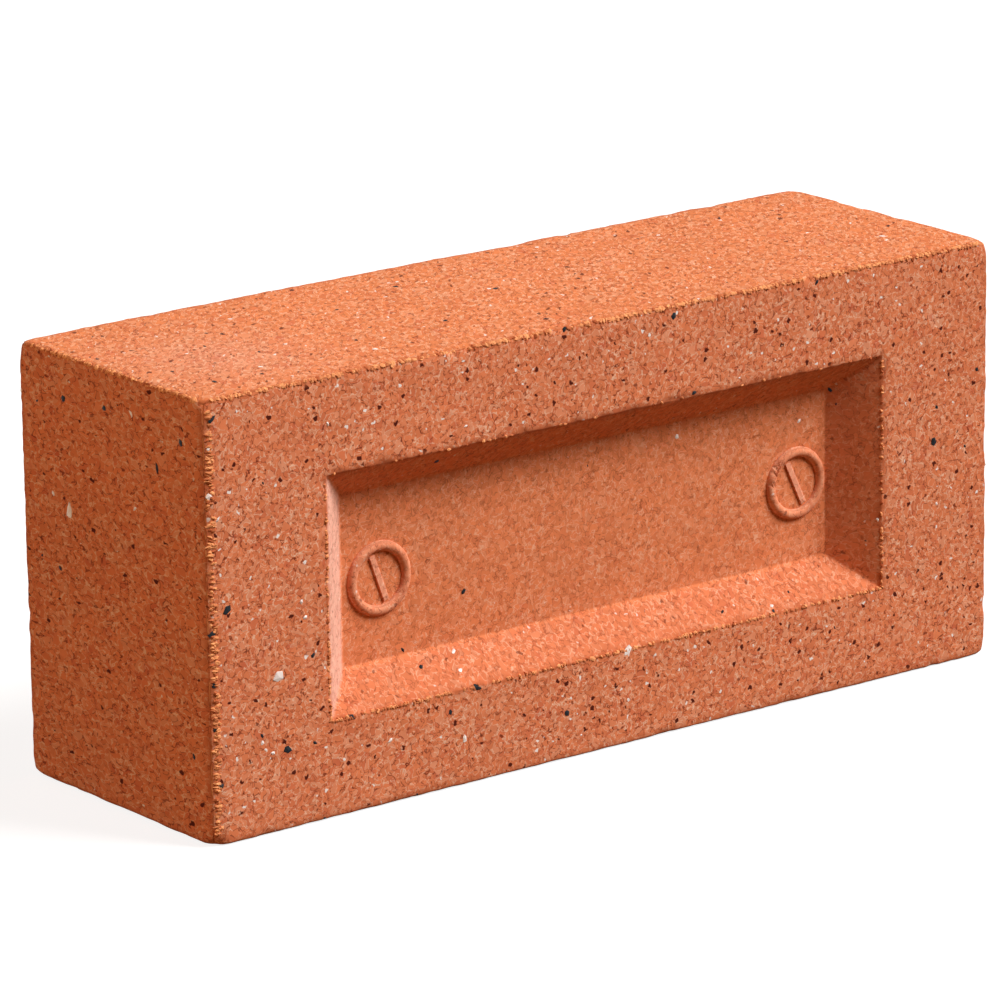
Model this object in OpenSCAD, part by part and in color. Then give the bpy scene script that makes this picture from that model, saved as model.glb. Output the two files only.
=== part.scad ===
// Pressed clay brick with a frog, standing on one of its long narrow sides.
// X runs along the length, Y through the thickness away from the frog, and Z up the width.
// The origin is the middle of the side that it stands on.

/* [Brick] */
// Length of the brick
brick_length = 240; // [200:1:300]
// Width of the two bed faces, upright as the brick stands
brick_width = 108; // [95:1:150]
// Thickness from the frogged bed face to the plain one
brick_thickness = 76; // [50:1:120]
// Radius of the worn arrises
arris_radius = 1; // [0.5:0.5:6]

/* [Frog] */
// Flat land between the frog and each end of the brick
end_land = 35; // [20:0.5:45]
// Flat land between the frog and each long side of the brick
side_land = 24.25; // [16:0.25:30]
// Depth of the frog's floor below the land
frog_depth = 9.5; // [6:0.5:13]
// Lean of the frog's two end walls, away from square to the floor
end_draft = 48; // [10:1:52]
// Lean of the frog's two long walls, away from square to the floor
side_draft = 42; // [10:1:50]
// Radius of the sweep from the frog's walls into its floor
foot_radius = 0.75; // [0.5:0.25:4]
// Radius of the rim where the frog's walls roll over into the land
rim_radius = 1; // [0.5:0.25:3]

/* [Screw marks] */
// Outer diameter of the raised ring that each screw of the die left in the clay
ring_diameter = 18.5; // [14:0.5:22]
// Width of the ring
ring_width = 2.6; // [1.5:0.1:4]
// Height of the ring above the frog's floor
ring_height = 1.3; // [1:0.1:3]
// Level floor between the right ring and the sweep at the foot of the frog's right wall
ring_gap = 0.1; // [0.1:0.1:10]
// Shift of the two marks to the right of the frog's middle
mark_shift = 0.6; // [0:0.1:3]
// Drop of the two marks below the middle of the frog
mark_drop = 1; // [0:0.5:5]
// Width of the raised bar that the screw's slot left, where it meets the floor
bar_width = 2; // [1.5:0.1:3.5]
// Height of the bar above the frog's floor
bar_height = 0.9; // [0.5:0.1:2.5]
// Lean of the bar's two flanks, away from square to the floor
bar_draft = 12; // [2:1:15]
// Clear floor between the ring and each end of the bar
bar_gap = 0.4; // [0.2:0.1:3]
// Turn of the left mark's bar from upright, its top to the left
left_turn = 20; // [0:1:180]
// Turn of the right mark's bar from upright, its top to the left
right_turn = 25; // [0:1:180]

/* [Hidden] */
$fn = 120;

clay = "#C8643C";
frog_length = brick_length - 2 * end_land;
frog_width = brick_width - 2 * side_land;
front = -brick_thickness / 2;
middle = brick_width / 2;
frog_floor = front + frog_depth;
level_floor = frog_length / 2 - frog_depth * tan(end_draft) - sweep_run(foot_radius, end_draft);
mark_place = level_floor - ring_gap - mark_shift - ring_diameter / 2;
mark_height = middle - mark_drop;
bar_length = ring_diameter - 2 * ring_width - 2 * bar_gap;
// How far the frog's cutter stands out of the face that it opens
overshoot = 5;
// How deep a raised mark is rooted in the clay
root = 1;

// How far a sweep between a leaning wall and a level face runs along each of them
function sweep_run(radius, draft) = radius * tan((90 - draft) / 2);

module rounded_rectangle(width, height, radius) {
    square([width - 2 * radius, height], center = true);
    square([width, height - 2 * radius], center = true);
    for (x = [-1, 1], y = [-1, 1])
        translate([x * (width / 2 - radius), y * (height / 2 - radius)])
            circle(radius);
}

// The brick before it is pressed: its outlines along the three axes, each run through the other two
module blank() {
    translate([0, 0, middle])
        intersection() {
            rotate([90, 0, 0])
                linear_extrude(2 * brick_thickness, center = true)
                    rounded_rectangle(brick_length, brick_width, arris_radius);
            rotate([90, 0, 90])
                linear_extrude(2 * brick_length, center = true)
                    rounded_rectangle(brick_thickness, brick_width, arris_radius);
            linear_extrude(2 * brick_width, center = true)
                rounded_rectangle(brick_length, brick_thickness, arris_radius);
        }
}

// Section of the frog across one pair of walls, with the mouth at y = 0 and the floor at y = frog_depth.
// The walls sweep into the floor at their feet and roll over into the land at the rim.
module frog_section(mouth, draft) {
    foot_run = sweep_run(foot_radius, draft);
    rim_run = sweep_run(rim_radius, draft);
    foot = mouth / 2 - frog_depth * tan(draft) - foot_run;
    shin = foot + foot_run + foot_run * sin(draft);
    shin_depth = frog_depth - foot_run * cos(draft);
    brow = mouth / 2 - rim_run * sin(draft);
    brow_depth = rim_run * cos(draft);
    rim = mouth / 2 + rim_run;
    for (side = [-1, 1])
        translate([side * foot, frog_depth - foot_radius])
            circle(foot_radius);
    difference() {
        polygon([
            [-rim, -overshoot],
            [rim, -overshoot],
            [rim, 0],
            [brow, brow_depth],
            [shin, shin_depth],
            [foot, frog_depth],
            [-foot, frog_depth],
            [-shin, shin_depth],
            [-brow, brow_depth],
            [-rim, 0]
        ]);
        for (side = [-1, 1])
            translate([side * rim, rim_radius])
                circle(rim_radius);
    }
}

// The pressed hollow: its two sections cross, which mitres the four corners
module frog() {
    translate([0, front, middle])
        intersection() {
            linear_extrude(2 * brick_width, center = true)
                frog_section(frog_length, end_draft);
            rotate([0, 90, 0])
                linear_extrude(2 * brick_length, center = true)
                    frog_section(frog_width, side_draft);
        }
}

// Section of the ring: straight flanks under a half-round crest
module ring_section() {
    translate([0, ring_height - ring_width / 2])
        circle(d = ring_width);
    translate([-ring_width / 2, -root])
        square([ring_width, root + ring_height - ring_width / 2]);
}

module bar_section() {
    lean = tan(bar_draft);
    half_root = bar_width / 2 + root * lean;
    half_crest = bar_width / 2 - bar_height * lean;
    polygon([
        [-half_root, -root],
        [half_root, -root],
        [half_crest, bar_height],
        [-half_crest, bar_height]
    ]);
}

// Print of one screw head of the die: a ring, and a bar where the head's slot was
module screw_mark(turn) {
    rotate([90, 0, 0]) {
        rotate_extrude()
            translate([(ring_diameter - ring_width) / 2, 0])
                ring_section();
        rotate([90, 0, turn])
            linear_extrude(bar_length, center = true)
                bar_section();
    }
}

module brick() {
    color(clay) {
        difference() {
            blank();
            frog();
        }
        translate([mark_shift - mark_place, frog_floor, mark_height])
            screw_mark(left_turn);
        translate([mark_shift + mark_place, frog_floor, mark_height])
            screw_mark(right_turn);
    }
}

brick();
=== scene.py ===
"""Dresses the packed clay brick: its pressed body, crumbs on its edges, grains in its clay, and a stage.

The file is laid out as an add-on and run as a script. Shapes are worked out in millimetres about the
brick's centre, and stored in metres.
"""

import math

import bpy
import numpy as np
from bpy.props import FloatProperty, FloatVectorProperty, IntProperty, PointerProperty
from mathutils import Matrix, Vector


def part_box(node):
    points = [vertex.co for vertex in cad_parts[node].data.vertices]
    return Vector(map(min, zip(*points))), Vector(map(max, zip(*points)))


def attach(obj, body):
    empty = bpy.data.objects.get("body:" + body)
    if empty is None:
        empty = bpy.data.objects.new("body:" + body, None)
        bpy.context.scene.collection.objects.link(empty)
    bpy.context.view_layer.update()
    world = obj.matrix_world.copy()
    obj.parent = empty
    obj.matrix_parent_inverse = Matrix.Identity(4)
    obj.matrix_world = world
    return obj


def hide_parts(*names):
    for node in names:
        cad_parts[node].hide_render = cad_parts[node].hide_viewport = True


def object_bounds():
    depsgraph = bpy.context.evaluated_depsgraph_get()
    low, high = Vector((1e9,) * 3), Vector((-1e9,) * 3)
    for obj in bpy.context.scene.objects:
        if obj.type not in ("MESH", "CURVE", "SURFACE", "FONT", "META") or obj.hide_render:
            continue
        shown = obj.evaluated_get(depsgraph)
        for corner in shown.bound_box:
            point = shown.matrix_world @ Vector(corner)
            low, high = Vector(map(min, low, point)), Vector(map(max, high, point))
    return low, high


bl_info = {
    "name": "Frogged Clay Brick",
    "version": (1, 0, 0),
    "blender": (4, 5, 0),
    "location": "3D View > Sidebar > Clay Brick",
    "description": "Presses a clay brick with a frog, and sets a stage to look at it",
    "category": "Object",
}

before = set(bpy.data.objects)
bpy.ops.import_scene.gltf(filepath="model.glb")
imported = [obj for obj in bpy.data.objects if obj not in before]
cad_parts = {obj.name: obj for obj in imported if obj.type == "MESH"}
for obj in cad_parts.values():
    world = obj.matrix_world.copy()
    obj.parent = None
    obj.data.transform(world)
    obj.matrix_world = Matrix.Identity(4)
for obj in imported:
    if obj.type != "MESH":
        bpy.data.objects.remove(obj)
CAD_LOW, CAD_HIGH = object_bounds()
BODY = "root"
NODE = "brick"
MM = 0.001


def linear(hex_colour):
    """Linear red, green and blue of an sRGB hex colour."""
    parts = [int(hex_colour[i : i + 2], 16) / 255 for i in (1, 3, 5)]
    return tuple(c / 12.92 if c <= 0.04045 else ((c + 0.055) / 1.055) ** 2.4 for c in parts)


def length(label, about, millimetres):
    """A property for a length, given in millimetres."""
    return FloatProperty(
        name=label, description=about, default=millimetres * MM, min=0.0, precision=4, unit="LENGTH"
    )


def angle(label, about, degrees):
    """A property for an angle, given in degrees."""
    return FloatProperty(name=label, description=about, default=math.radians(degrees), unit="ROTATION")


def colour(label, about, hex_colour):
    """A property for a colour, given as sRGB hex."""
    return FloatVectorProperty(
        name=label, description=about, default=linear(hex_colour), size=3, min=0.0, max=1.0, subtype="COLOR"
    )


def number(label, about, count):
    """A property for a whole number."""
    return IntProperty(name=label, description=about, default=count, min=0)


class BrickSizes(bpy.types.PropertyGroup):
    """Sizes of the brick, as the solid model has them."""

    arris_radius: length("Arris Radius", "Radius of the worn arrises", 1)
    end_land: length("End Land", "Flat land between the frog and each end", 35)
    side_land: length("Side Land", "Flat land between the frog and each long side", 24.25)
    frog_depth: length("Frog Depth", "Depth of the frog's floor below the land", 9.5)
    end_draft: angle("End Draft", "Lean of the frog's two end walls", 48)
    side_draft: angle("Side Draft", "Lean of the frog's two long walls", 42)
    foot_radius: length("Foot Radius", "Sweep from the frog's walls into its floor", 0.75)
    rim_radius: length("Rim Radius", "Roll from the frog's walls into the land", 1)
    ring_diameter: length("Ring Diameter", "Outer diameter of the ring of a screw mark", 18.5)
    ring_width: length("Ring Width", "Width of the ring", 2.6)
    ring_height: length("Ring Height", "Height of the ring above the frog's floor", 1.3)
    ring_gap: length("Ring Gap", "Level floor between the right ring and the foot of the wall", 0.1)
    mark_shift: length("Mark Shift", "Shift of the marks to the right of the frog's middle", 0.6)
    mark_drop: length("Mark Drop", "Drop of the marks below the middle of the frog", 1)
    bar_width: length("Bar Width", "Width of the bar where it meets the floor", 2)
    bar_height: length("Bar Height", "Height of the bar above the floor", 0.9)
    bar_draft: angle("Bar Draft", "Lean of the bar's flanks", 12)
    bar_gap: length("Bar Gap", "Floor between the ring and each end of the bar", 0.4)
    left_turn: angle("Left Turn", "Turn of the left bar from upright", 20)
    right_turn: angle("Right Turn", "Turn of the right bar from upright", 25)


class BrickFinish(bpy.types.PropertyGroup):
    """Relief, colours and grains of the fired clay."""

    skin: length("Skin", "How deep the clay's mean face lies inside the solid's face", 0.3)
    waviness: length("Waviness", "Height of the slow waves that pressing leaves in a face", 0.22)
    coarseness: length("Coarseness", "Height of the coarse grain in a face", 0.12)
    wear: length("Wear", "Depth of the chips along the edges", 0.9)
    blunting: length("Blunting", "How far the two front left corners are worn back, the others half", 1.9)
    clay: colour("Clay", "Fired clay on an open face", "#DD7D52")
    floor_clay: colour("Floor Clay", "Closer clay on the frog's floor", "#DF7F51")
    # Painted shade: a darker clay that makes the frog's lower wall less bright than its light alone would
    step_clay_shade: colour("Step Clay", "Darker clay on the frog's lower wall", "#D3774E")
    wiped_clay: colour("Wiped Clay", "Clay on the top and the underside", "#D97C4B")
    # Painted light: a pale pink tint that stands for the grazing sheen on the frog's left wall, a highlight
    # on the crests of the marks and a brighter patch at the left of the top
    dust: colour("Dust", "Dust on one wall of the frog, on the marks and on a patch of the top", "#E6AA94")
    # Pale dust and painted highlight: pale strokes on the rims of the grains; it also tints the paler
    # grains
    dust_and_highlight: colour("Flake", "Pale dust on the rims of the grains", "#FFDDBE")
    crack: colour("Crack", "Shade in the hairlines between grains", "#6A1E08")
    pit: colour("Pit", "Shade in the small pits", "#52190B")
    ember: colour("Ember", "Redder grains", "#BE5038")
    gap: colour("Gap", "Shade between the crumbs of an edge", "#B9603A")
    # Fresh clay and painted highlight: crumbled edges are painted brighter than their light alone would
    # make them
    crumb: colour("Crumb", "Fresh clay that shows where an edge has crumbled", "#FFAE74")
    quartz: colour("Quartz", "Pale grains", "#F6EAE2")
    iron: colour("Iron", "Dark grains", "#121416")
    arris_crumbs: number("Arris Crumbs", "Number of crumbs along the worn top arrises", 860)
    tooth_crumbs: number("Tooth Crumbs", "Number of crumbs across the worn front left arris", 300)
    rim_crumbs: number("Rim Crumbs", "Number of crumbs round the frog's rim", 420)
    grains: number("Grains", "Number of grains of each kind that are placed by chance", 70)
    seed: number("Seed", "Start of the draws by chance", 7)


class BrickStage(bpy.types.PropertyGroup):
    """Camera, lamps and floor."""

    focal: FloatProperty(name="Focal Length", description="In millimetres on a 36 mm sensor", default=237.9)
    place: FloatVectorProperty(
        name="Camera Place",
        description="Where the camera stands",
        default=(-0.9504, -1.2344, 0.4944),
        unit="LENGTH",
    )
    turn: FloatVectorProperty(
        name="Camera Turn",
        description="Turn of the camera about X, Y and Z",
        default=tuple(math.radians(a) for a in (74.228, 0.773, -37.649)),
        subtype="EULER",
        unit="ROTATION",
    )
    floor: colour("Floor", "Floor as the camera sees it", "#FFFFFF")
    shade: colour("Shade", "Share of the floor's light that shows, which leaves the shadow", "#959595")
    bounce: colour("Bounce", "Floor as it lights the brick", "#72562E")
    ambient: colour("Ambient", "Light from all round", "#22180B")


class BrickSettings(bpy.types.PropertyGroup):
    """Everything a user would change."""

    sizes: PointerProperty(type=BrickSizes)
    finish: PointerProperty(type=BrickFinish)
    stage: PointerProperty(type=BrickStage)


# Shapes

# A length that counts as nothing, and how finely points are told apart, in steps per millimetre
NOTHING = 1e-9
FINE_STEPS = 1e5
# Large odd numbers that scramble a cube's place and a seed into a chance value
PLACE_MIX = np.array((73856093, 19349663, 83492791))
SEED_MIX = 2654435761
ROUND_MIX = ((13, 1274126177), (16, 2246822519))
# Run of a ring's steep flank, and of the ramp at each end of a bar
FLANK_RUN = 0.06
BAR_END = 0.3
# Share of its height that a bar's rubbed crest keeps, and how much less of it from left to right
BAR_CREST = 0.45
BAR_TILT = 0.3
# Small cuts in the right ring: their angles in degrees, share of the ring's height, and half width
RING_CUTS = (134, 143, 152, 172)
CUT_SHARE = 0.45
CUT_WIDTH = 0.3
# Spacing of the grid: rows and columns on the frog's floor, rows at the foot of its long walls, other faces
FLOOR_ROW = 0.5
FLOOR_COLUMN = 0.95
FOOT_ROWS = np.array([0, 0.26, 0.55, 0.84, 1.14])
FACE_ROW = 1.9
# Angle in degrees that the loops follow round the foot and the rim, just past where each wall's arc ends
ROLL_ANGLE = 50
# Sizes of the relief's noises: waves, grain and chips
WAVE_SIZES = (26, 9)
GRAIN_SIZES = (3.1, 1.7)
CHIP_SIZES = (3.4, 17, 1.2)
# How far wear reaches from an arris, the frog's rim, a corner, the front left arris and the standing side
ARRIS_REACH = 1.0
RIM_REACH = 0.9
CORNER_REACH = 3
HANDLED_REACH = 2.5
STANDING_REACH = 2


def value_noise(points, size, seed):
    """Smooth noise from 0 to 1.

    Chance values stand at the corners of cubes of one size, and are blended across each cube.
    """
    cell = points / size
    corner = np.floor(cell).astype(np.int64)
    share = cell - corner
    share = share * share * (3 - 2 * share)
    total = np.zeros(len(points))
    for step in np.ndindex(2, 2, 2):
        i, j, k = ((corner + step) * PLACE_MIX).T
        mixed = i ^ j ^ k ^ (seed * SEED_MIX)
        for shift, factor in ROUND_MIX:
            mixed = (mixed ^ (mixed >> shift)) * factor & 0xFFFFFFFF
        chance = ((mixed ^ (mixed >> 15)) & 0xFFFFFF) / 0xFFFFFF
        total += chance * np.prod(np.where(step, share, 1 - share), axis=1)
    return total


def ease(value, low, high):
    """Smooth step from 0 at low to 1 at high."""
    share = np.clip((value - low) / (high - low), 0, 1)
    return share * share * (3 - 2 * share)


class Measures:
    """The brick's sizes in millimetres, and what follows from them."""

    def __init__(self, sizes):
        low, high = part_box(NODE)
        self.half = np.array(high - low) / 2 / MM
        self.centre = np.array(high + low) / 2 / MM
        for name in BrickSizes.__annotations__:
            value = getattr(sizes, name)
            setattr(self, name, value if name.endswith(("draft", "turn")) else value / MM)
        self.mouth = self.half[[0, 2]] - (self.end_land, self.side_land)
        self.drafts = np.array((self.end_draft, self.side_draft))
        foot_run = self.foot_radius * np.tan((math.pi / 2 - self.drafts) / 2)
        rim_run = self.rim_radius * np.tan((math.pi / 2 - self.drafts) / 2)
        self.level = self.mouth - self.frog_depth * np.tan(self.drafts) - foot_run
        self.rim = self.mouth + rim_run
        self.mark_place = self.level[0] - self.ring_gap - self.mark_shift - self.ring_diameter / 2
        self.bar_half = self.ring_diameter / 2 - self.ring_width - self.bar_gap

    def wall(self, depth, side):
        """Half length (side 0) or half width (side 1) of the frog at each depth.

        From the floor up it follows the arc of the sweep, the straight slope, then the arc of the rim.
        """
        draft = self.drafts[side]
        rise = self.frog_depth - depth
        foot, rim = self.foot_radius, self.rim_radius
        sweep = np.sqrt(np.clip(rise * (2 * foot - rise), 0, None))
        slope = foot * math.cos(draft) + (rise - foot * (1 - math.sin(draft))) * math.tan(draft)
        roll = np.sqrt(np.clip(depth * (2 * rim - depth), 0, None))
        out = np.where(rise < foot * (1 - math.sin(draft)), sweep, slope) + self.level[side]
        return np.where(depth < rim * (1 - math.sin(draft)), self.rim[side] - roll, out)


def mark_lines(m):
    """Grid lines across half a screw mark, from its middle out.

    They lie at the bar's edges, evenly over the field, and at even angles round the ring's crest.
    """
    crest = m.bar_width / 2 - m.bar_height * math.tan(m.bar_draft)
    outer = m.ring_diameter / 2
    inner = outer - m.ring_width
    middle = (outer + inner) / 2
    bar = [0, crest / 2, crest, m.bar_width / 2]
    field = np.linspace(m.bar_width / 2, m.bar_half - BAR_END, 10)[1:]
    crown = middle - m.ring_width / 2 * np.cos(np.radians(np.arange(30, 151, 20)))
    foot = [outer - FLANK_RUN, outer, outer + m.ring_gap]
    return np.concatenate([bar, field, [m.bar_half, inner, inner + FLANK_RUN], crown, foot])


def screw_mark(m, lines, turn, cuts):
    """Print of a screw head over a square patch of floor, as x, z and height.

    Square loops of grid lines round off into circles under the ring and go back to squares inside it, where
    they turn with the bar. The ring's height depends on the loop: steep flanks under a half-round crest,
    which has a little chance height round it and narrow bell-shaped cuts at given angles. The bar's height
    is a ramp up each flank and each end, under a crest that is rubbed down, the most to the right.
    """
    outer = m.ring_diameter / 2
    inner = outer - m.ring_width
    whole = np.concatenate([-lines[:0:-1], lines])
    across, along = np.meshgrid(whole, whole)
    loop = np.maximum(np.maximum(abs(across), abs(along)), NOTHING)
    reach = np.hypot(across, along)
    square = 1 - ease(loop, 0.5 * inner, inner) + ease(loop, outer, lines[-1])
    radius = loop * (1 + (reach / loop - 1) * square)
    twist = turn * (1 - ease(loop, inner, outer))
    heading = np.arctan2(along, across) + twist
    flank = np.clip(np.minimum(loop - inner, outer - loop) / FLANK_RUN, 0, 1)
    crown = np.sqrt(np.clip((m.ring_width / 2) ** 2 - (loop - (outer + inner) / 2) ** 2, 0, None))
    ring = flank * (m.ring_height - m.ring_width / 2 + crown)
    spot = np.stack([np.cos(heading), np.sin(heading), np.full_like(heading, turn)], axis=-1)
    ring *= 0.96 + 0.08 * value_noise(spot.reshape(-1, 3) * outer, 1.3, 3).reshape(ring.shape)
    for place in cuts:
        off = np.angle(np.exp(1j * (heading - math.radians(place)))) * outer
        ring *= 1 - CUT_SHARE * np.exp(-((off / CUT_WIDTH) ** 2))
    lean = m.bar_height * math.tan(m.bar_draft)
    side = np.clip((m.bar_width / 2 - abs(across)) / lean, 0, 1)
    end = np.clip((m.bar_half - abs(along)) / BAR_END, 0, 1)
    bar = m.bar_height * side * end * (BAR_CREST - BAR_TILT * across / m.bar_width)
    return radius * np.cos(heading), radius * np.sin(heading), ring + bar


def lines_between(start, stop, step):
    """Even grid lines from start to stop, about one step apart."""
    return np.linspace(start, stop, max(2, int(round(abs(stop - start) / step)) + 1))


def grid_faces(rows, columns, flip=False):
    """Four-sided faces of a grid of points that is numbered row by row."""
    first = (np.arange(rows - 1)[:, None] * columns + np.arange(columns - 1)).ravel()
    faces = np.stack([first, first + 1, first + columns + 1, first + columns], axis=1)
    return faces[:, ::-1] if flip else faces


def frog_floor(m):
    """The frog's floor as a grid of x, z and height, with the two screw marks standing up from it."""
    lines = mark_lines(m)
    mark = np.concatenate([-lines[:0:-1], lines])
    edge = lines[-1]
    low, high = -m.level[1], m.level[1]
    below = lines_between(low + FOOT_ROWS[-1], -m.mark_drop - edge, FLOOR_ROW)[1:-1]
    below = np.concatenate([low + FOOT_ROWS, below])
    above = lines_between(-m.mark_drop + edge, high - FOOT_ROWS[-1], FLOOR_ROW)[1:-1]
    above = np.concatenate([above, high - FOOT_ROWS[::-1]])
    rows = np.concatenate([below, mark - m.mark_drop, above])
    left, right = m.mark_shift - m.mark_place, m.mark_shift + m.mark_place
    before = [-m.level[0], left - edge - m.mark_shift]
    middle = lines_between(left + edge, right - edge, FLOOR_COLUMN)[1:-1]
    columns = np.concatenate([before, left + mark, middle, right + mark])
    x, z = np.meshgrid(columns, rows)
    height = np.zeros_like(x)
    tall = slice(len(below), len(below) + len(mark))
    for wide, place, turn, cuts in (
        (slice(len(before), len(before) + len(mark)), left, m.left_turn, ()),
        (slice(len(columns) - len(mark), len(columns)), right, m.right_turn, RING_CUTS),
    ):
        aside, up, rise = screw_mark(m, lines, turn, cuts)
        x[tall, wide] = place + aside
        z[tall, wide] = up - m.mark_drop
        height[tall, wide] = rise
    return columns / m.level[0], rows / m.level[1], x, z, height


def round_arris(points, m):
    """Points of the square block brought onto the block with round arrises.

    Each goes to one arris radius from the block that is smaller all round by that radius, along the line
    from its nearest point there.
    """
    core = np.clip(points, m.arris_radius - m.half, m.half - m.arris_radius)
    out = points - core
    return core + m.arris_radius * out / np.maximum(np.linalg.norm(out, axis=1, keepdims=True), NOTHING)


def bare_body(m):
    """The body before its relief, as points and faces.

    The front face is the frog's floor, then loops round it: up the wall, over the rim, across the land and
    round the arris. The other five faces are grids whose lines run on from the front face's outermost loop.
    """
    across, up, x, z, height = frog_floor(m)
    rows, columns = x.shape
    front, floor = -m.half[1], m.frog_depth - m.half[1]
    points = [np.stack([x, floor - height, z], axis=-1).reshape(-1, 3)]
    faces = [grid_faces(rows, columns)]
    # Loops: the level floor's edge, the sweep, the slope, the rim, the land and half of the arris
    sweep = m.frog_depth - m.foot_radius * (1 - np.cos(np.radians(np.linspace(0, ROLL_ANGLE, 6))))
    roll = m.rim_radius * (1 - np.cos(np.radians(np.linspace(ROLL_ANGLE, 0, 5))))
    depth = np.concatenate([sweep, np.linspace(sweep[-1], roll[0], 10)[1:-1], roll])
    land = np.linspace(0, 1, 19)[1:]
    arris = m.arris_radius * np.tan(np.radians(np.linspace(0, 45, 5)[1:]))
    extent = []
    for side, axis in ((0, 0), (1, 2)):
        flat = m.half[axis] - m.arris_radius
        across_land = m.rim[side] + (flat - m.rim[side]) * land
        extent.append(np.concatenate([m.wall(depth, side), across_land, flat + arris]))
    sink = np.concatenate([depth, np.zeros(len(land) + len(arris))])
    round_x = np.concatenate([across[:-1], np.ones(rows - 1), across[:0:-1], -np.ones(rows - 1)])
    round_z = np.concatenate([-np.ones(columns - 1), up[:-1], np.ones(columns - 1), up[:0:-1]])
    count = len(round_x)
    loop_y = np.repeat(front + sink[:, None], count, 1)
    loops = np.stack([np.outer(extent[0], round_x), loop_y, np.outer(extent[1], round_z)], axis=-1)
    outer = sink < NOTHING
    loops[outer] = round_arris(loops[outer].reshape(-1, 3), m).reshape(loops[outer].shape)
    here = np.arange(len(sink) - 1)[:, None] * count + np.arange(count)
    after = np.roll(here, -1, axis=1)
    points.append(loops.reshape(-1, 3))
    faces.append(np.stack([here, here + count, after + count, after], axis=-1).reshape(-1, 4))
    # The other five faces
    bend = m.half[1] - m.arris_radius + np.concatenate([[0], arris])
    y = np.concatenate([-bend[::-1], lines_between(-bend[0], bend[0], FACE_ROW)[1:-1], bend])
    wide, tall = across * m.half[0], up * m.half[2]
    for u, v, axes, level, flip in (
        (wide, y, (0, 1, 2), m.half[2], False),
        (wide, y, (0, 1, 2), -m.half[2], True),
        (y, tall, (1, 2, 0), m.half[0], False),
        (y, tall, (1, 2, 0), -m.half[0], True),
        (wide, tall, (0, 2, 1), m.half[1], True),
    ):
        grid = np.empty((len(v), len(u), 3))
        grid[..., axes[0]] = u
        grid[..., axes[1]] = v[:, None]
        grid[..., axes[2]] = level
        points.append(round_arris(grid.reshape(-1, 3), m))
        faces.append(grid_faces(len(v), len(u), flip))
    starts = np.cumsum([0] + [len(p) for p in points[:-1]])
    faces = np.concatenate([f + s for f, s in zip(faces, starts)])
    points = np.concatenate(points)
    steps = np.round(points * FINE_STEPS).astype(np.int64)
    _, keep, place = np.unique(steps, axis=0, return_index=True, return_inverse=True)
    return points[keep], place.ravel()[faces]


def edge_nearness(points, m):
    """How near each point is to an arris or to the frog's rim, from 0 to 1, as a bell of the distance."""
    gaps = np.sort(m.half - abs(points), axis=1)
    arris = np.exp(-((gaps[:, 1] / ARRIS_REACH) ** 2))
    rim = np.max(abs(points[:, [0, 2]]) - m.mouth, axis=1)
    front = points[:, 1] < m.frog_depth / 2 - m.half[1]
    return np.maximum(arris, front * 0.5 * np.exp(-((rim / RIM_REACH) ** 2)))


def frog_shares(points, m):
    """Shares of the frog's floor, left wall, lower wall and close clay at each point, from 0 to 1.

    A wall's depth below the land grows evenly from the frog's mouth, so the least of the four walls' depths
    tells which wall a point lies on. The clay is close all over the frog, and less so on the lower wall.
    """
    room = (m.mouth - abs(points[:, [0, 2]])) / np.tan(m.drafts)
    lowest = room.min(axis=1)
    front = points[:, 1] < m.frog_depth + 1 - m.half[1]
    frog = front * ease(lowest, -0.3, 0.7)
    floor = frog * ease(lowest, 0.85 * m.frog_depth, m.frog_depth)
    end = ease(room[:, 1] - room[:, 0], -0.5, 0.5)
    left = frog * (1 - floor) * end * (points[:, 0] < 0)
    lower = frog * (1 - floor) * (1 - end) * (points[:, 2] < 0)
    return floor, left, lower, frog - 0.15 * lower


def relief(points, m, finish):
    """Height of the clay over the bare body: slow waves and coarse grain, less the wear of the edges.

    Chips lie along the edges where two noises are both high, and fewer lie round the side that the brick
    stands on. The front left arris is worn all along, by a bell of the sum of the gaps to it.
    """
    seed = finish.seed
    calm = 1 - 0.6 * frog_shares(points, m)[3]
    waves = [value_noise(points, size, seed + n) for n, size in enumerate(WAVE_SIZES)]
    grains = [value_noise(points, size, seed + 2 + n) for n, size in enumerate(GRAIN_SIZES)]
    chips = [value_noise(points, size, seed + 4 + n) for n, size in enumerate(CHIP_SIZES)]
    slow = waves[0] + 0.5 * waves[1] - 0.75
    grain = grains[0] + 0.6 * grains[1] - 0.8
    chip = ease(chips[0], 0.45, 0.95) * ease(chips[1], 0.25, 0.8) + 0.35 * chips[2]
    standing = np.exp(-(((points[:, 2] + m.half[2]) / STANDING_REACH) ** 2))
    worn = finish.wear / MM * chip * edge_nearness(points, m) * (1 - 0.7 * standing)
    handled = np.exp(-(((points[:, :2] + m.half[:2]).sum(axis=1) / HANDLED_REACH) ** 2))
    worn += finish.wear / MM * 0.35 * handled
    high = finish.waviness / MM * slow + finish.coarseness / MM * grain
    return high * calm - worn - finish.skin / MM


def corner_wear(points, m, finish):
    """How far the wear of the eight corners moves each point.

    It goes along the corner's diagonal, by a bell of the sum of the gaps to the corner's three faces. The
    two corners of the front left arris are worn back twice as far as the others.
    """
    bell = np.exp(-(((m.half - abs(points)).sum(axis=1) / CORNER_REACH) ** 2))
    handled = np.all(points[:, :2] < 0, axis=1)
    reach = finish.blunting / MM * np.where(handled, 1, 0.5) * bell
    return -reach[:, None] * np.sign(points) / math.sqrt(3)


def outward(points, faces):
    """Unit normal at each point, from the faces round it."""
    corner = points[faces]
    normal = np.cross(corner[:, 2] - corner[:, 0], corner[:, 3] - corner[:, 1])
    total = np.zeros_like(points)
    for column in range(4):
        np.add.at(total, faces[:, column], normal)
    return total / np.maximum(np.linalg.norm(total, axis=1, keepdims=True), NOTHING)


def keep_inside(points, m):
    """Points held inside the solid model's box."""
    return np.clip(points, -m.half, m.half)


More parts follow.
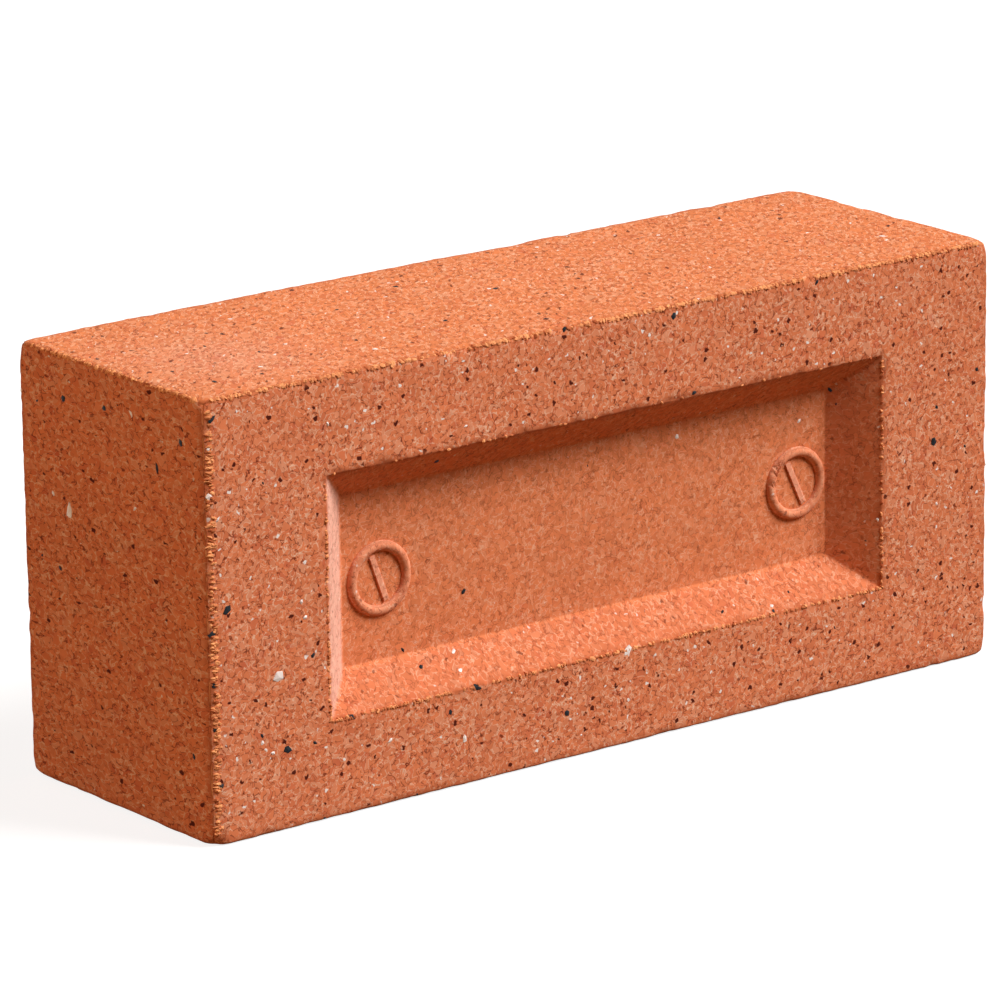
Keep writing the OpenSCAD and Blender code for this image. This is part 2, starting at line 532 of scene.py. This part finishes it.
def pebbles(count, chance, ragged):
    """Rough pebbles of twelve corners: two poles and two rings of five, each pushed in or out by chance."""
    ring = np.radians(np.arange(5) * 72)
    height = 1 / math.sqrt(5)
    width = 2 / math.sqrt(5)
    rings = [
        np.stack([width * np.cos(ring + t), width * np.sin(ring + t), np.full(5, h)], 1)
        for t, h in ((0, -height), (math.pi / 5, height))
    ]
    corners = np.concatenate([[[0, 0, -1]], rings[0], rings[1], [[0, 0, 1]]])
    i = np.arange(5)
    j = (i + 1) % 5
    faces = np.concatenate(
        [
            np.stack([i * 0, j + 1, i + 1], 1),
            np.stack([i + 1, j + 1, i + 6], 1),
            np.stack([j + 1, j + 6, i + 6], 1),
            np.stack([i + 6, j + 6, i * 0 + 11], 1),
        ]
    )
    scale = 1 + ragged * chance.uniform(-1, 1, (count, len(corners), 1))
    return corners * scale, faces


def scatter_pebbles(chance, centre, axes, size, ragged):
    """One mesh of pebbles: each is stretched along its own three axes and set at its own centre."""
    unit, faces = pebbles(len(centre), chance, ragged)
    points = centre[:, None] + np.einsum("nkc,nc,ncd->nkd", unit, size, axes)
    offset = np.arange(len(centre))[:, None, None] * unit.shape[1]
    return points.reshape(-1, 3), (faces + offset).reshape(-1, 3)


def arris_places(m, chance, count, arrises):
    """Chance places on some arrises, as point, outward direction and direction of the arris.

    Each arris is its axis, the sides of the brick on which it lies, its share of the places, the mean angle
    round its quarter circle, and how far the places spread over the front face. They keep off the worn
    corners.
    """
    row = np.arange(count)
    axis, sides, share, mean, width = (np.array(part) for part in zip(*arrises))
    pick = chance.choice(len(arrises), count, p=share)
    along, side, spread = axis[pick], sides[pick], width[pick]
    swing = np.radians(chance.normal(mean[pick], SWING_SPREAD).clip(*SWING_LIMITS))
    out = np.zeros((count, 3))
    out[row, (along + 1) % 3] = np.cos(swing)
    out[row, (along + 2) % 3] = np.sin(swing)
    core = m.half - np.full((count, 3), m.arris_radius)
    core[row, along] = chance.uniform(-1, 1, count) * (core[row, along] - CORNER_GAP)
    core[:, 0] -= chance.uniform(0.3, 1, count) * spread
    line = np.zeros((count, 3))
    line[row, along] = 1
    return side * (core + m.arris_radius * out), side * out, line


def rim_places(m, chance, count):
    """Chance places round the frog's rim, as point, outward direction and direction of the rim.

    More than half lie on the lower side, then on the left, the right and the upper side. A place lies on
    the arc by which the wall rolls over into the land.
    """
    row = np.arange(count)
    wall = chance.choice(len(RIM_SHARES), count, p=RIM_SHARES)
    pair = wall // 2
    sign = np.where(wall % 2, 1, -1)
    roll = chance.uniform(0.1, 0.9, count) * (math.pi / 2 - m.drafts[pair])
    across, other = 2 * pair, 2 - 2 * pair
    point, out, line = np.zeros((3, count, 3))
    point[row, across] = sign * (m.rim[pair] - m.rim_radius * np.sin(roll))
    point[row, other] = chance.uniform(-1, 1, count) * m.mouth[1 - pair]
    point[:, 1] = m.rim_radius * (1 - np.cos(roll)) - m.half[1]
    out[row, across] = -sign * np.sin(roll)
    out[:, 1] = -np.cos(roll)
    line[row, other] = 1
    return point, out, line


def face_frames(points, faces):
    """Centre, unit normal and area of each four-sided face."""
    corner = points[faces]
    normal = np.cross(corner[:, 2] - corner[:, 0], corner[:, 3] - corner[:, 1])
    twice = np.linalg.norm(normal, axis=1)
    return corner.mean(axis=1), normal / twice[:, None], twice / 2


def named_places(centre, normal, m, marks):
    """Listed grains set on the body, as point, normal and half length.

    A mark is the name of a side, two coordinates on it in millimetres, and a half length. It slides along
    the axis of that side onto the nearest four-sided face.
    """
    points, normals, sizes = [], [], []
    for face, first, second, size in marks:
        axis, side, others = HAND_FACES[face]
        facing = np.flatnonzero(normal[:, axis] * side > 0.3)
        spot = np.array((first, second), float) - m.centre[list(others)]
        near = facing[np.argmin(((centre[facing][:, others] - spot) ** 2).sum(axis=1))]
        point = centre[near].copy()
        step = spot - point[list(others)]
        point[list(others)] = spot
        point[axis] -= (normal[near, list(others)] * step).sum() / normal[near, axis]
        points.append(point)
        normals.append(normal[near])
        sizes.append(size)
    return np.array(points), np.array(normals), np.array(sizes)


# Arrises that have crumbled: axis, sides of the brick, share of the crumbs, mean angle, spread on the front
TOP_ARRISES = ((0, (1, -1, 1), 0.75, 50, 0), (1, (-1, 1, 1), 0.25, 45, 0))
NEAR_ARRISES = ((2, (-1, -1, 1), 1, 68, 2),)
# Angles in degrees that crumbs keep to round an arris, and how far they keep from its ends
SWING_SPREAD = 14
SWING_LIMITS = (6, 84)
CORNER_GAP = 2
# Share of the rim's crumbs on the left, right, lower and upper side
RIM_SHARES = (0.2, 0.13, 0.62, 0.05)
# Half lengths of a crumb out of its edge, how much of that is sunk, and how ragged it is
CRUMB_RISE = (0.35, 0.55)
CRUMB_SUNK = 0.25
CRUMB_RAGGED = 0.25
# Half lengths of the grains that are placed by chance, how much of a grain is sunk, and how ragged it is
GRAIN_HALF = (0.3, 0.9)
GRAIN_SUNK = 0.3
GRAIN_RAGGED = 0.3
# Patch of painted light on the top: its middle from the left end and from the front, its reach, and its
# share
PATCH_PLACE = (25, 30)
PATCH_REACH = 22
PATCH_SHARE = 0.22
# Share of painted highlight on the screw marks
MARK_SHARE = 0.4
# Axis, side and the other two axes of the faces on which listed grains are placed
HAND_FACES = {"front": (1, -1, (0, 2)), "end": (0, -1, (1, 2)), "top": (2, 1, (0, 1))}
# Grains that stand out: face, two coordinates from the middle of the standing side, half length
DARK_GRAINS = (
    ("top", -4, 3, 1.0),
    ("top", 23, 9, 0.8),
    ("top", 18, -2, 0.7),
    ("top", -80, 10, 0.8),
    ("top", -90, 3, 0.7),
    ("top", -83, -9, 0.8),
    ("top", -107, -25, 1.0),
    ("top", -32, -14, 0.8),
    ("end", 19, 97, 1.0),
    ("end", 2, 98, 0.9),
    ("end", -29, 96, 1.1),
    ("end", -19, 88, 1.5),
    ("end", -31, 21, 0.9),
    ("front", -114, 57, 1.5),
    ("front", -118, 52, 1.5),
    ("front", -118, 40, 1.1),
    ("front", -118, 29, 0.9),
    ("front", -117, 15, 1.1),
    ("front", -98, 20, 1.4),
    ("front", -90, 20, 0.8),
    ("front", -15, 12, 1.0),
    ("front", -50, 80, 0.9),
    ("front", 64, 106, 0.9),
    ("front", 19, 105, 1.0),
    ("front", 102, 59, 1.2),
    ("front", -117, 103, 1.3),
    ("front", -79, 24, 1.2),
    ("front", -42, 24, 1.4),
    ("front", -57, 34, 0.8),
    ("front", -54, 30, 0.9),
    ("front", 36, 27, 0.8),
)
PALE_GRAINS = (
    ("end", 18, 70, 1.8),
    ("end", -9, 99, 1.0),
    ("front", -100, 38, 1.7),
    ("front", -118, 96, 1.0),
    ("front", -118, 85, 1.1),
    ("front", -92, 51, 0.9),
    ("front", -93, 55, 0.7),
    ("front", -116, 79, 0.8),
    ("front", -105, 23, 0.7),
    ("front", -104, 21, 0.6),
    ("front", -102, 20, 0.6),
    ("front", -46, 12, 1.1),
    ("front", -68, 16, 1.0),
    ("front", 4, 24, 1.5),
    ("top", -43, -30, 0.9),
    ("top", -44, -34, 0.8),
)


# Materials


def add(tree, kind, inputs=(), out=0, **settings):
    """Adds a node with its settings, sets or links its inputs in order or by name, and gives an output."""
    made = tree.nodes.new("ShaderNode" + kind)
    for name, value in settings.items():
        setattr(made, name, value)
    for key, value in inputs.items() if isinstance(inputs, dict) else enumerate(inputs):
        if isinstance(value, bpy.types.NodeSocket):
            tree.links.new(value, made.inputs[key])
        else:
            made.inputs[key].default_value = value
    return made.outputs[out] if made.outputs else None


def looked_at(tree):
    """1 where the camera, a reflection or a view through glass looks, and 0 where light is gathered."""
    path = add(tree, "LightPath").node.outputs
    seen = add(tree, "Math", (path["Is Camera Ray"], path["Is Glossy Ray"]), operation="MAXIMUM")
    return add(tree, "Math", (seen, path["Is Transmission Ray"]), operation="MAXIMUM")


def per_metre(millimetres):
    """Scale of a texture whose features are that many millimetres apart."""
    return 1 / (millimetres * MM)


def rgba(value):
    """A colour with full cover."""
    return (*value, 1.0)


def new_material(name):
    """An empty node material and its tree."""
    material = bpy.data.materials.new(name)
    material.use_nodes = True
    material.node_tree.nodes.clear()
    return material, material.node_tree


def bent_place(tree, place, size, reach):
    """The place moved by up to a reach each way, by a noise of one size, which curls straight patterns."""
    bend = add(tree, "TexNoise", {"Vector": place, "Scale": per_metre(size), "Detail": 0.0}, "Color")
    bend = add(tree, "VectorMath", (bend, (0.5, 0.5, 0.5)), operation="SUBTRACT")
    inputs = {0: bend, 1: (2 * reach * MM,) * 3, 2: place}
    return add(tree, "VectorMath", inputs, operation="MULTIPLY_ADD")


def specks(tree, cells, low, high, least, most):
    """Specks in those cells of a scatter whose chance lies from low to high.

    A speck is what lies near the cell's point, within a radius that a second chance sets from the least to
    the most, as a share of the scatter's spacing.
    """
    chance = add(tree, "SeparateColor", (cells["Color"],)).node.outputs
    reach = add(tree, "MapRange", (chance[1], 0.0, 1.0, least, most))
    inside = add(tree, "Math", (reach, cells["Distance"]), operation="SUBTRACT")
    inside = add(tree, "MapRange", (inside, -0.02, 0.04, 0.0, 1.0))
    kept = add(tree, "Math", (chance[0], (low + high) / 2, (high - low) / 2), operation="COMPARE")
    return add(tree, "Math", (inside, kept), operation="MULTIPLY")


def pressed_clay(finish):
    """Fired clay, pressed and unglazed: matt and sandy.

    The eye sees pale dust and painted highlight on the rims of the grains, painted shade in the hairlines
    and pits between them, a few sparkling and a few redder grains, and fresh orange clay with a painted
    highlight on crumbled edges, with painted shade between the crumbs. The frog's lower wall has darker
    clay, which is painted shade, and a pale tint on one wall of the frog, on the marks and on a patch of
    the top is painted light.
    """
    material, tree = new_material("pressed_fired_clay")
    edge, floor, dusty, lower, close, wiped = (
        add(tree, "Attribute", out="Fac", attribute_name=name)
        for name in ("edge", "floor", "dusty", "lower_wall", "close", "wiped")
    )
    # The sides of the brick drag along the die as it is pushed out, which draws the grain out along Y. The
    # top and the underside are wiped at a slant, which draws it out further
    place = add(tree, "TexCoord", out="Object")
    drawn, slanted = (
        add(tree, "Mapping", {"Vector": place, "Rotation": turn, "Scale": draw}, vector_type="TEXTURE")
        for turn, draw in (((0, 0, 0), (1, 1.6, 1)), ((0, 0, math.radians(-37)), (0.9, 1.9, 0.9)))
    )
    place = add(tree, "Mix", {0: wiped, 4: drawn, 5: slanted}, 1, data_type="VECTOR")
    slow, patch, mottle, grit = (
        add(tree, "TexNoise", {"Vector": place, "Scale": per_metre(size), "Detail": 1.0})
        for size in (34, 7, 2.2, 1.3)
    )
    # Real grit is 0.1 to 1 mm. Grains under 1.4 mm would not show, so they are drawn at that size, with
    # curled rims
    inputs = {"Vector": bent_place(tree, place, 2.0, 1.7), "Scale": per_metre(1.4)}
    grain = add(tree, "TexVoronoi", inputs, "Color")
    rim = add(tree, "TexVoronoi", inputs, feature="DISTANCE_TO_EDGE")
    grain, hue, rise = (add(tree, "SeparateColor", (grain,)).node.outputs[part] for part in range(3))
    # The rims of the grains are painted: pale dust and painted highlight where the grit is high, painted
    # shade in the hairlines where it is low
    line = add(tree, "MapRange", (rim, 0.02, 0.09, 1.0, 0.0), interpolation_type="SMOOTHSTEP")
    light = add(tree, "MapRange", (grit, 0.5, 0.54, 0.0, 1.0), interpolation_type="SMOOTHSTEP")
    dark = add(tree, "MapRange", (grit, 0.47, 0.43, 0.0, 1.0), interpolation_type="SMOOTHSTEP")
    rim_dust_highlights = add(tree, "Math", (line, light), operation="MULTIPLY")
    cracks = add(tree, "Math", (line, dark), operation="MULTIPLY")
    inputs = {"Vector": bent_place(tree, place, 0.9, 0.6), "Scale": per_metre(2.6)}
    cells = add(tree, "TexVoronoi", inputs).node.outputs
    pits = specks(tree, cells, 0.0, 0.42, 0.03, 0.24)
    sparks = specks(tree, cells, 0.42, 0.85, 0.04, 0.17)
    embers = specks(tree, cells, 0.85, 1.0, 0.2, 0.5)
    # Close clay is quieter than the rest
    quiet = add(tree, "MapRange", (close, 0.0, 1.0, 1.0, 0.55))
    lively = add(tree, "MapRange", (patch, 0.35, 0.65, 0.7, 1.0))
    lively = add(tree, "Math", (lively, quiet), operation="MULTIPLY")

    base = rgba(finish.clay)
    for share, tint in (
        (floor, finish.floor_clay),
        # Painted shade: darker clay on the frog's lower wall
        (lower, finish.step_clay_shade),
        (wiped, finish.wiped_clay),
        # Painted light: a pale tint for the grazing sheen on the frog's left wall, the highlight on the
        # marks and a brighter patch of the top
        (dusty, finish.dust),
    ):
        base = add(tree, "Mix", {0: share, 6: base, 7: rgba(tint)}, 2, data_type="RGBA")
    level = add(tree, "MapRange", (slow, 0.3, 0.7, 0.98, 1.04))
    for noise, low, high in ((grain, 0.93, 1.07), (mottle, 0.95, 1.05), (grit, 0.9, 1.1)):
        share = add(tree, "MapRange", (noise, 0.0, 1.0, low, high))
        level = add(tree, "Math", (level, share), operation="MULTIPLY")
    level = add(tree, "CombineColor", (level, level, level))
    base = add(tree, "Mix", {0: 1.0, 6: base, 7: level}, 2, data_type="RGBA", blend_type="MULTIPLY")
    redder = add(tree, "MapRange", (hue, 0.6, 1.0, 0.0, 0.35))
    paler = add(tree, "MapRange", (hue, 0.3, 0.0, 0.0, 0.2))
    for mask, strength, tint in (
        (redder, 1.0, finish.ember),
        (paler, 1.0, finish.dust_and_highlight),
        (embers, 0.4, finish.ember),
        (rim_dust_highlights, 0.58, finish.dust_and_highlight),
        (cracks, 0.9, finish.crack),
    ):
        share = add(tree, "Math", (mask, lively), operation="MULTIPLY")
        share = add(tree, "Math", (share, strength), operation="MULTIPLY")
        base = add(tree, "Mix", {0: share, 6: base, 7: rgba(tint)}, 2, data_type="RGBA")
    for mask, tint in ((pits, finish.pit), (sparks, finish.quartz)):
        share = add(tree, "Math", (mask, quiet), operation="MULTIPLY")
        base = add(tree, "Mix", {0: share, 6: base, 7: rgba(tint)}, 2, data_type="RGBA")
    # The edge value goes from 0 on a face through 0.5, painted shade in the gaps between crumbs, to 1,
    # fresh clay with a painted highlight on a crumb
    gap = add(tree, "MapRange", (edge, 0.0, 0.5, 0.0, 1.0))
    base = add(tree, "Mix", {0: gap, 6: base, 7: rgba(finish.gap)}, 2, data_type="RGBA")
    fresh_and_highlight = add(tree, "MapRange", (edge, 0.5, 1.0, 0.0, 1.0))
    base = add(tree, "Mix", {0: fresh_and_highlight, 6: base, 7: rgba(finish.crumb)}, 2, data_type="RGBA")

    raised = add(tree, "Math", (mottle, 0.4), operation="MULTIPLY")
    raised = add(tree, "Math", (rise, 0.6, raised), operation="MULTIPLY_ADD")
    bump = add(tree, "Bump", {"Height": raised, "Strength": quiet, "Distance": 0.2 * MM})
    shader = add(
        tree,
        "BsdfPrincipled",
        {
            "Base Color": base,
            "Roughness": add(tree, "MapRange", (grit, 0.3, 0.7, 0.82, 0.96)),
            "Normal": bump,
            "IOR": 1.5,
            "Specular IOR Level": 0.1,
            "Sheen Weight": 0.05,
            "Sheen Roughness": 0.45,
            "Sheen Tint": rgba(linear("#FFD8C4")),
        },
    )
    add(tree, "OutputMaterial", (shader,))
    return material


def broken_stone(name, base, other, roughness, gloss):
    """A natural grain broken in the clay: one mineral, mottled, with a dull shine on its flat faces."""
    material, tree = new_material(name)
    place = add(tree, "TexCoord", out="Object")
    mottle = add(tree, "TexNoise", {"Vector": place, "Scale": per_metre(1.1), "Detail": 2.0})
    share = add(tree, "MapRange", (mottle, 0.35, 0.65))
    tint = add(tree, "Mix", {0: share, 6: rgba(base), 7: rgba(other)}, 2, data_type="RGBA")
    rough = add(tree, "MapRange", (mottle, 0.3, 0.7, roughness, roughness + 0.2))
    inputs = {"Base Color": tint, "Roughness": rough, "IOR": 1.54, "Specular IOR Level": gloss}
    shader = add(tree, "BsdfPrincipled", inputs)
    add(tree, "OutputMaterial", (shader,))
    return material


# Pieces

# Edges of the body that turn by more than this many degrees look sharp
SHARP_ANGLE = 50


def make_piece(name, points, faces, material, m, smooth):
    """A mesh object from points in millimetres about the brick's centre, which stands for its solid."""
    mesh = bpy.data.meshes.new(name)
    mesh.from_pydata(((points + m.centre) * MM).tolist(), [], faces.tolist())
    mesh.validate()
    mesh.update()
    if smooth:
        mesh.shade_smooth()
        mesh.set_sharp_from_angle(angle=math.radians(SHARP_ANGLE))
    mesh.materials.append(material)
    piece = bpy.data.objects.new(name, mesh)
    bpy.context.scene.collection.objects.link(piece)
    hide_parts(NODE)
    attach(piece, BODY)
    return piece


def add_values(piece, name, values):
    """Stores one number at each point of a piece, for its material to read."""
    attribute = piece.data.attributes.new(name, "FLOAT", "POINT")
    attribute.data.foreach_set("value", np.asarray(values, np.float32))


def clay_material(finish):
    """The clay's material, made once."""
    return bpy.data.materials.get("pressed_fired_clay") or pressed_clay(finish)


class CLAY_BRICK_OT_press_body(bpy.types.Operator):
    """Press the brick's body, with its frog and the two screw marks"""

    bl_idname = "clay_brick.press_body"
    bl_label = "Press Body"

    def execute(self, context):
        settings = context.scene.clay_brick
        m = Measures(settings.sizes)
        bare, faces = bare_body(m)
        floor, left, lower, close = frog_shares(bare, m)
        # The floor goes straight in, so that the marks on it keep their shape
        out = outward(bare, faces) * (1 - floor[:, None]) + (0, -1, 0) * floor[:, None]
        height = relief(bare, m, settings.finish)
        points = keep_inside(bare + out * height[:, None] + corner_wear(bare, m, settings.finish), m)
        body = make_piece("pressed_body", points, faces, clay_material(settings.finish), m, True)
        # Near the arrises the edge value goes, by a noise, from painted shade between crumbs to fresh clay
        # with a painted highlight; round the frog's rim it reaches only the painted shade
        fresh_and_highlight = 0.25 + 0.75 * ease(value_noise(bare, 1.3, 40), 0.4, 0.6)
        add_values(body, "edge", edge_nearness(bare, m) * fresh_and_highlight)
        add_values(body, "floor", floor)
        # Painted light makes a highlight on the marks, which are all that rises from the level floor, most
        # on the low bars
        level = np.all(abs(bare[:, ::2]) < m.level - 0.01, axis=1)
        rise = m.frog_depth - m.half[1] - bare[:, 1]
        marks = level * ease(rise, 0.05, 0.2) * (1 - 0.5 * ease(rise, 0.5, 0.7))
        # A faint patch of painted light lies on the top, as a bell of the distance from the patch's middle
        wiped = abs(outward(bare, faces)[:, 2]) > 0.75
        off = bare[:, :2] + m.half[:2] - PATCH_PLACE
        patch = wiped * (bare[:, 2] > 0) * np.exp(-(off**2).sum(axis=1) / PATCH_REACH**2)
        # The painted light lies on the frog's left wall as painted sheen, on the marks as painted
        # highlight, and on the patch of the top
        add_values(body, "dusty", np.maximum.reduce([left, MARK_SHARE * marks, PATCH_SHARE * patch]))
        # The lower wall's share carries painted shade, the darker step clay
        add_values(body, "lower_wall", lower)
        add_values(body, "close", np.maximum(close, 0.4 * wiped))
        add_values(body, "wiped", wiped)
        return {"FINISHED"}


class CLAY_BRICK_OT_crumble_edges(bpy.types.Operator):
    """Set crumbs of clay along the arrises and the frog's rim, which pressing and handling leave rough"""

    bl_idname = "clay_brick.crumble_edges"
    bl_label = "Crumble Edges"

    def execute(self, context):
        settings = context.scene.clay_brick
        finish = settings.finish
        m = Measures(settings.sizes)
        chance = np.random.default_rng(finish.seed)
        top = arris_places(m, chance, finish.arris_crumbs, TOP_ARRISES)
        near = arris_places(m, chance, finish.tooth_crumbs, NEAR_ARRISES)
        rim = rim_places(m, chance, finish.rim_crumbs)
        # Least and most half lengths across the edge and along it, and the most turn in degrees
        for name, places, least, most, turn in (
            ("arris_crumbs", top, (0.5, 0.4), (1.0, 0.7), 90),
            ("tooth_crumbs", near, (0.65, 0.4), (1.15, 0.6), 25),
            ("rim_crumbs", rim, (0.4, 0.3), (0.8, 0.55), 90),
        ):
            point, out, line = places
            count = len(point)
            size = chance.uniform((*least, CRUMB_RISE[0]), (*most, CRUMB_RISE[1]), (count, 3))
            centre = point + out * (relief(point, m, finish) - CRUMB_SUNK * size[:, 2])[:, None]
            centre += corner_wear(point, m, finish)
            spin = np.radians(chance.uniform(-turn, turn, (count, 1)))
            first = np.cos(spin) * np.cross(line, out) + np.sin(spin) * line
            axes = np.stack([first, np.cross(out, first), out], axis=1)
            points, faces = scatter_pebbles(chance, centre, axes, size, CRUMB_RAGGED)
            crumbs = make_piece(name, keep_inside(points, m), faces, clay_material(finish), m, False)
            # A crumb's edge value, drawn by chance, sets how much painted shade or fresh clay with a
            # painted highlight it shows
            add_values(crumbs, "edge", np.repeat(chance.uniform(0.45, 1.0, count), len(points) // count))
        return {"FINISHED"}


class CLAY_BRICK_OT_bed_grains(bpy.types.Operator):
    """Bed grains of ironstone and quartz in the clay's faces"""

    bl_idname = "clay_brick.bed_grains"
    bl_label = "Bed Grains"

    def execute(self, context):
        settings = context.scene.clay_brick
        finish = settings.finish
        m = Measures(settings.sizes)
        chance = np.random.default_rng(finish.seed + 1)
        centre, normal, area = face_frames(*bare_body(m))
        iron = broken_stone("broken_ironstone", finish.iron, linear("#23282E"), 0.5, 0.12)
        quartz = broken_stone("broken_quartz", finish.quartz, linear("#E9D8D2"), 0.3, 0.5)
        for name, marks, material in (
            ("ironstone_grains", DARK_GRAINS, iron),
            ("quartz_grains", PALE_GRAINS, quartz),
        ):
            point, out, half = named_places(centre, normal, m, marks)
            pick = chance.choice(len(area), finish.grains, p=area / area.sum())
            point = np.concatenate([point, centre[pick]])
            out = np.concatenate([out, normal[pick]])
            half = np.concatenate([half, chance.uniform(*GRAIN_HALF, finish.grains)])
            count = len(point)
            spin = chance.normal(size=(count, 3))
            first = np.cross(out, spin)
            first /= np.linalg.norm(first, axis=1, keepdims=True)
            axes = np.stack([first, np.cross(out, first), out], axis=1)
            # A grain is longer than wide, and flat
            shape = np.stack([np.ones(count), chance.uniform(0.5, 0.8, count), np.full(count, 0.4)], axis=1)
            size = half[:, None] * shape
            sunk = point + out * (relief(point, m, finish) - GRAIN_SUNK * size[:, 2])[:, None]
            points, faces = scatter_pebbles(chance, sunk, axes, size, GRAIN_RAGGED)
            make_piece(name, keep_inside(points, m), faces, material, m, False)
        return {"FINISHED"}


# Width of the camera's sensor in millimetres
SENSOR = 36
# Distance of the lamps and half width of the floor in metres, and the floor's own light
LAMP_DISTANCE = 12
FLOOR_HALF = 12.0
FLOOR_GLOW = 0.85
# Name, azimuth and elevation in degrees, size in metres, power in watts, colour
LAMPS = (
    ("key", 45, 46, 5.8, 2200, "#FFFFFF"),
    ("fill", -95, 20, 7.2, 640, "#FFD9B3"),
    ("back", 165, 7, 7.2, 520, "#FFE2C8"),
)


class CLAY_BRICK_OT_set_stage(bpy.types.Operator):
    """Set the camera, the lamps and the floor"""

    bl_idname = "clay_brick.set_stage"
    bl_label = "Set Stage"

    def execute(self, context):
        scene = context.scene
        stage = scene.clay_brick.stage
        scene.view_settings.view_transform = "Standard"
        camera = bpy.data.objects.new("camera", bpy.data.cameras.new("camera"))
        camera.data.lens = stage.focal
        camera.data.sensor_width = SENSOR
        camera.location = stage.place
        camera.rotation_euler = stage.turn
        scene.collection.objects.link(camera)
        scene.camera = camera
        for name, azimuth, elevation, size, power, tint in LAMPS:
            lamp = bpy.data.lights.new(name, "AREA")
            lamp.size = size
            lamp.energy = power
            lamp.color = linear(tint)
            holder = bpy.data.objects.new(name, lamp)
            a, e = math.radians(azimuth), math.radians(elevation)
            away = np.array((math.sin(a) * math.cos(e), -math.cos(a) * math.cos(e), math.sin(e)))
            holder.location = away * LAMP_DISTANCE + (0, 0, (CAD_LOW[2] + CAD_HIGH[2]) / 2)
            holder.rotation_euler = (math.pi / 2 - e, 0, a)
            scene.collection.objects.link(holder)
        self.lay_floor(scene, stage)
        self.set_world(scene, stage)
        return {"FINISHED"}

    def lay_floor(self, scene, stage):
        """A flat square, white to the camera and in reflections, and darker as it lights the brick."""
        corners = np.array([(-1, -1, 0), (1, -1, 0), (1, 1, 0), (-1, 1, 0)]) * FLOOR_HALF
        mesh = bpy.data.meshes.new("floor")
        mesh.from_pydata(corners.tolist(), [], [(0, 1, 2, 3)])
        floor = bpy.data.objects.new("floor", mesh)
        scene.collection.objects.link(floor)
        material, tree = new_material("matt_studio_floor")
        seen = looked_at(tree)
        dull = add(tree, "BsdfDiffuse", {"Color": rgba(stage.bounce)})
        shaded = add(tree, "BsdfDiffuse", {"Color": rgba(stage.shade)})
        bright = add(tree, "Emission", {"Color": rgba(stage.floor), "Strength": FLOOR_GLOW})
        white = add(tree, "AddShader", (bright, shaded))
        shader = add(tree, "MixShader", (seen, dull, white))
        add(tree, "OutputMaterial", (shader,))
        mesh.materials.append(material)

    def set_world(self, scene, stage):
        """Soft light from all round, white where the camera or a reflection looks past the floor."""
        world = bpy.data.worlds.new("studio")
        world.use_nodes = True
        tree = world.node_tree
        tree.nodes.clear()
        tint = {0: looked_at(tree), 6: rgba(stage.ambient), 7: rgba(linear("#FFFFFF"))}
        tint = add(tree, "Mix", tint, 2, data_type="RGBA")
        light = add(tree, "Background", {"Color": tint, "Strength": 1.0})
        add(tree, "OutputWorld", (light,))
        scene.world = world


class CLAY_BRICK_PT_panel(bpy.types.Panel):
    """Lists the brick's steps and settings"""

    bl_idname = "CLAY_BRICK_PT_panel"
    bl_label = "Clay Brick"
    bl_space_type = "VIEW_3D"
    bl_region_type = "UI"
    bl_category = "Clay Brick"

    def draw(self, context):
        settings = context.scene.clay_brick
        for group, steps in (
            (settings.sizes, ("press_body",)),
            (settings.finish, ("crumble_edges", "bed_grains")),
            (settings.stage, ("set_stage",)),
        ):
            box = self.layout.box()
            for step in steps:
                box.operator("clay_brick." + step)
            for name in group.__annotations__:
                box.prop(group, name)


CLASSES = (
    BrickSizes,
    BrickFinish,
    BrickStage,
    BrickSettings,
    CLAY_BRICK_OT_press_body,
    CLAY_BRICK_OT_crumble_edges,
    CLAY_BRICK_OT_bed_grains,
    CLAY_BRICK_OT_set_stage,
    CLAY_BRICK_PT_panel,
)


def register():
    """Makes the classes and the scene's settings known to Blender."""
    for made in CLASSES:
        bpy.utils.register_class(made)
    bpy.types.Scene.clay_brick = PointerProperty(type=BrickSettings)


def unregister():
    """Takes the settings and the classes away again."""
    del bpy.types.Scene.clay_brick
    for made in reversed(CLASSES):
        bpy.utils.unregister_class(made)


def main():
    """Makes the brick and its stage."""
    register()
    bpy.ops.clay_brick.press_body()
    bpy.ops.clay_brick.crumble_edges()
    bpy.ops.clay_brick.bed_grains()
    bpy.ops.clay_brick.set_stage()


if __name__ == "__main__":
    main()
